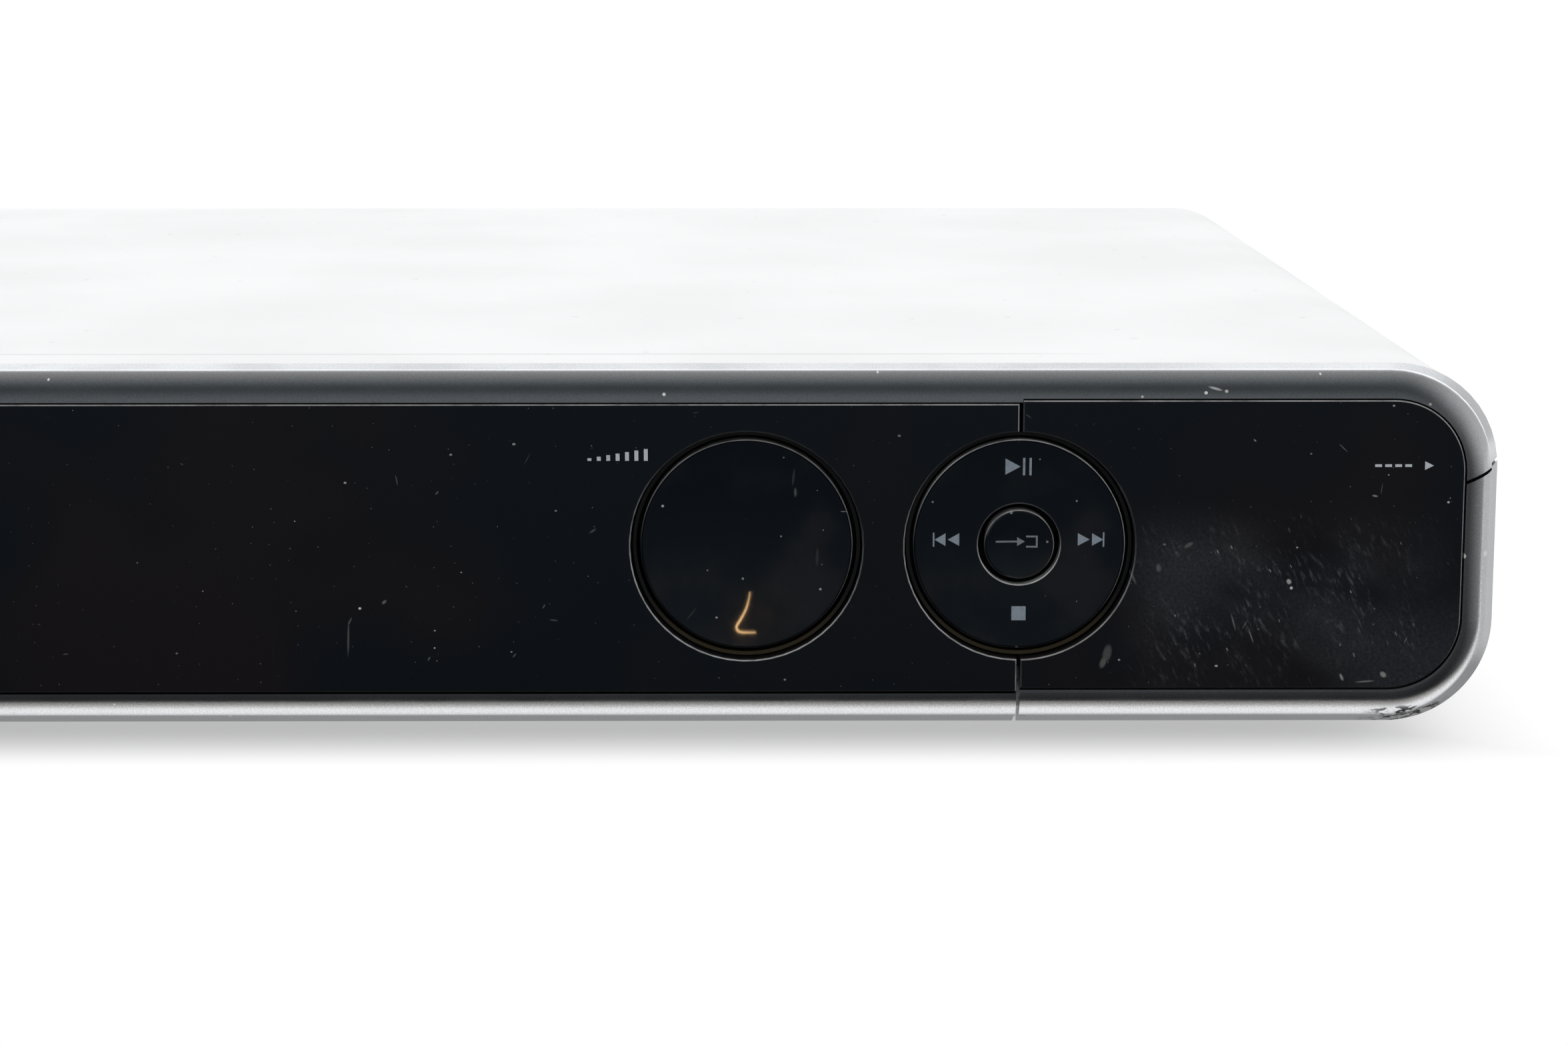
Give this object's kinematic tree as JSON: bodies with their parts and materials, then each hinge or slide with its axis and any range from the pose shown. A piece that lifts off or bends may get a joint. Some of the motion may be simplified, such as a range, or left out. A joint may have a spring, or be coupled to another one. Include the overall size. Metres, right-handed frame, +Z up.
{
  "type": "disc player with tray",
  "caption": "Full-width home disc player and receiver with a gloss black front, a disc tray, a round volume knob, a round transport ring and a flap over side sockets.",
  "frame": {"origin": "on the surface the player stands on, under the middle of its box", "axes": "+X along the width to the viewer's right, +Y from the front panel to the back, +Z up"},
  "size_m": [0.435, 0.31, 0.0636],
  "materials": {
    "silver_paint": "satin silver lacquer over moulded plastic",
    "gloss_black": "high gloss smoked black",
    "disc_black": "gloss black with a fine bright edge",
    "cover_paint": "pale silver powder coat",
    "zinc_sheet": "plain zinc plated sheet",
    "screw_steel": "plated steel",
    "foot_rubber": "dark rubber",
    "frame_black": "matt black moulding",
    "frame_grey": "dark grey moulding",
    "tray_plastic": "fine grained dark moulding",
    "white_gear": "natural acetal",
    "belt_rubber": "smooth black rubber",
    "motor_can": "plated can",
    "rod_steel": "ground rod",
    "sled_metal": "die cast",
    "lens_glass": "coated lens",
    "board_green": "green solder mask",
    "chip_black": "moulded package",
    "fin_aluminium": "extruded fins",
    "core_steel": "laminated core with a wound coil",
    "can_sleeve": "shrink sleeve",
    "cable_white": "flat ribbon",
    "display_glass": "dark display glass",
    "socket_metal": "nickel plated shell",
    "jack_plastic": "black jack body"
  },
  "bodies": {
    "case": {"base_pan": "zinc_sheet", "top_cover": "cover_paint", "rear_panel": "zinc_sheet", "front_bezel": "silver_paint", "fascia_panel": "gloss_black", "front_frame": "frame_black", "feet": "foot_rubber", "case_screws": "screw_steel", "control_well": "frame_black", "socket_plate": "frame_grey", "usb_socket": "socket_metal", "jack_sockets": "jack_plastic", "door_catch": "frame_black", "volume_encoder": "socket_metal", "control_board": "board_green", "small_boards": "board_green", "tact_switches": "chip_black", "display_module": "display_glass", "loader_frame": "frame_grey", "loading_belt": "belt_rubber", "loading_motor": "motor_can", "clamp_bridge": "motor_can", "power_inlet": "jack_plastic", "speaker_terminals": "jack_plastic", "av_jacks": "jack_plastic", "hdmi_socket": "socket_metal", "tuner_jack": "socket_metal", "fan_housing": "frame_black", "main_board": "board_green", "board_chips": "chip_black", "heat_sink": "fin_aluminium", "power_board": "board_green", "transformer": "core_steel", "capacitors": "can_sleeve", "flat_cables": "cable_white"},
    "flap": {"door_panel": "gloss_black", "door_trim": "silver_paint", "hinge_pins": "rod_steel"},
    "knob": {"volume_knob": "disc_black"},
    "carrier": {"ring_carrier": "frame_grey"},
    "ring": {"control_ring": "disc_black"},
    "middle_button": {"source_button": "disc_black"},
    "power_key": {"power_button": "disc_black"},
    "eject_key": {"eject_button": "disc_black"},
    "tray": {"disc_tray": "tray_plastic", "tray_front": "gloss_black"},
    "tray_gear": {"tray_drive_gear": "white_gear"},
    "belt_gear": {"pulley_gear": "white_gear"},
    "drive_pulley": {"motor_pulley": "white_gear"},
    "puck": {"clamp_puck": "frame_black"},
    "cam": {"lift_cam": "white_gear"},
    "traverse": {"traverse_frame": "frame_black", "guide_rods": "rod_steel", "sled_motor": "motor_can", "spindle_motor": "motor_can"},
    "disc_seat": {"turntable": "frame_black"},
    "sled": {"pickup_sled": "sled_metal"},
    "lens": {"objective_lens": "lens_glass"},
    "screw": {"lead_screw": "rod_steel"},
    "rotor": {"fan_rotor": "frame_black"}
  },
  "joints": [
    {"name": "tray_slide", "type": "slide", "parent": "case", "child": "tray", "axis": [0, -1, 0], "range_m": [0, 0.142]},
    {"name": "tray_gear_spin", "type": "hinge", "parent": "case", "child": "tray_gear", "pos_m": [-0.15, -0.129, 0.035], "axis": [0, 0, 1], "range_deg": [0, 679]},
    {"name": "belt_gear_spin", "type": "hinge", "parent": "case", "child": "belt_gear", "pos_m": [-0.132, -0.129, 0.03], "axis": [0, 0, 1], "range_deg": [-1358, 0]},
    {"name": "drive_pulley_spin", "type": "hinge", "parent": "case", "child": "drive_pulley", "pos_m": [-0.095, -0.129, 0.029], "axis": [0, 0, 1], "range_deg": [-5430, 0]},
    {"name": "traverse_tilt", "type": "hinge", "parent": "case", "child": "traverse", "pos_m": [-0.118, -0.005, 0.0305], "axis": [-1, 0, 0], "range_deg": [0, 7]},
    {"name": "cam_slide", "type": "slide", "parent": "case", "child": "cam", "axis": [1, 0, 0], "range_m": [0, 0.0241]},
    {"name": "disc_spin", "type": "hinge", "parent": "traverse", "child": "disc_seat", "pos_m": [-0.118, -0.07624, 0.03636], "axis": [0, -0.1219, 0.9925], "continuous": true},
    {"name": "clamp_spin", "type": "hinge", "parent": "case", "child": "puck", "pos_m": [-0.118, -0.075, 0.052], "axis": [0, 0, 1], "continuous": true},
    {"name": "sled_slide", "type": "slide", "parent": "traverse", "child": "sled", "axis": [0, 0.9925, 0.1219], "range_m": [0, 0.034]},
    {"name": "screw_spin", "type": "hinge", "parent": "traverse", "child": "screw", "pos_m": [-0.086, -0.04029, 0.0307], "axis": [0, 0.9925, 0.1219], "range_deg": [0, 4085]},
    {"name": "lens_focus", "type": "slide", "parent": "sled", "child": "lens", "axis": [0, -0.1219, 0.9925], "range_m": [-0.0003, 0.0006], "stiffness_N_per_m": 60},
    {"name": "flap_hinge", "type": "hinge", "parent": "case", "child": "flap", "pos_m": [0.174, -0.1472, 0.0106], "axis": [1, 0, 0], "range_deg": [0, 90]},
    {"name": "volume_turn", "type": "hinge", "parent": "case", "child": "knob", "pos_m": [0.0996, -0.15, 0.036], "axis": [0, 1, 0], "continuous": true},
    {"name": "ring_tilt_up_down", "type": "hinge", "parent": "case", "child": "carrier", "pos_m": [0.142, -0.1483, 0.036], "axis": [1, 0, 0], "range_deg": [-2.5, 2.5], "stiffness_Nm_per_rad": 0.25},
    {"name": "ring_tilt_left_right", "type": "hinge", "parent": "carrier", "child": "ring", "pos_m": [0.142, -0.1483, 0.036], "axis": [0, 0, 1], "range_deg": [-2.5, 2.5], "stiffness_Nm_per_rad": 0.25},
    {"name": "middle_press", "type": "slide", "parent": "case", "child": "middle_button", "axis": [0, 1, 0], "range_m": [0, 0.0008], "stiffness_N_per_m": 900},
    {"name": "power_press", "type": "slide", "parent": "case", "child": "power_key", "axis": [0, 1, 0], "range_m": [0, 0.0008], "stiffness_N_per_m": 900},
    {"name": "eject_press", "type": "slide", "parent": "case", "child": "eject_key", "axis": [0, 1, 0], "range_m": [0, 0.0008], "stiffness_N_per_m": 900},
    {"name": "fan_spin", "type": "hinge", "parent": "case", "child": "rotor", "pos_m": [-0.02, 0.138, 0.035], "axis": [0, 1, 0], "continuous": true}
  ],
  "couplings": [
    {"joint": "tray_gear_spin", "follows": "tray_slide", "rad_per_m": 83.333},
    {"joint": "belt_gear_spin", "follows": "tray_slide", "rad_per_m": -166.67},
    {"joint": "drive_pulley_spin", "follows": "tray_slide", "rad_per_m": -666.67},
    {"joint": "cam_slide", "follows": "traverse_tilt", "m_per_rad": 0.19644},
    {"joint": "screw_spin", "follows": "sled_slide", "rad_per_m": 2094.4}
  ]
}
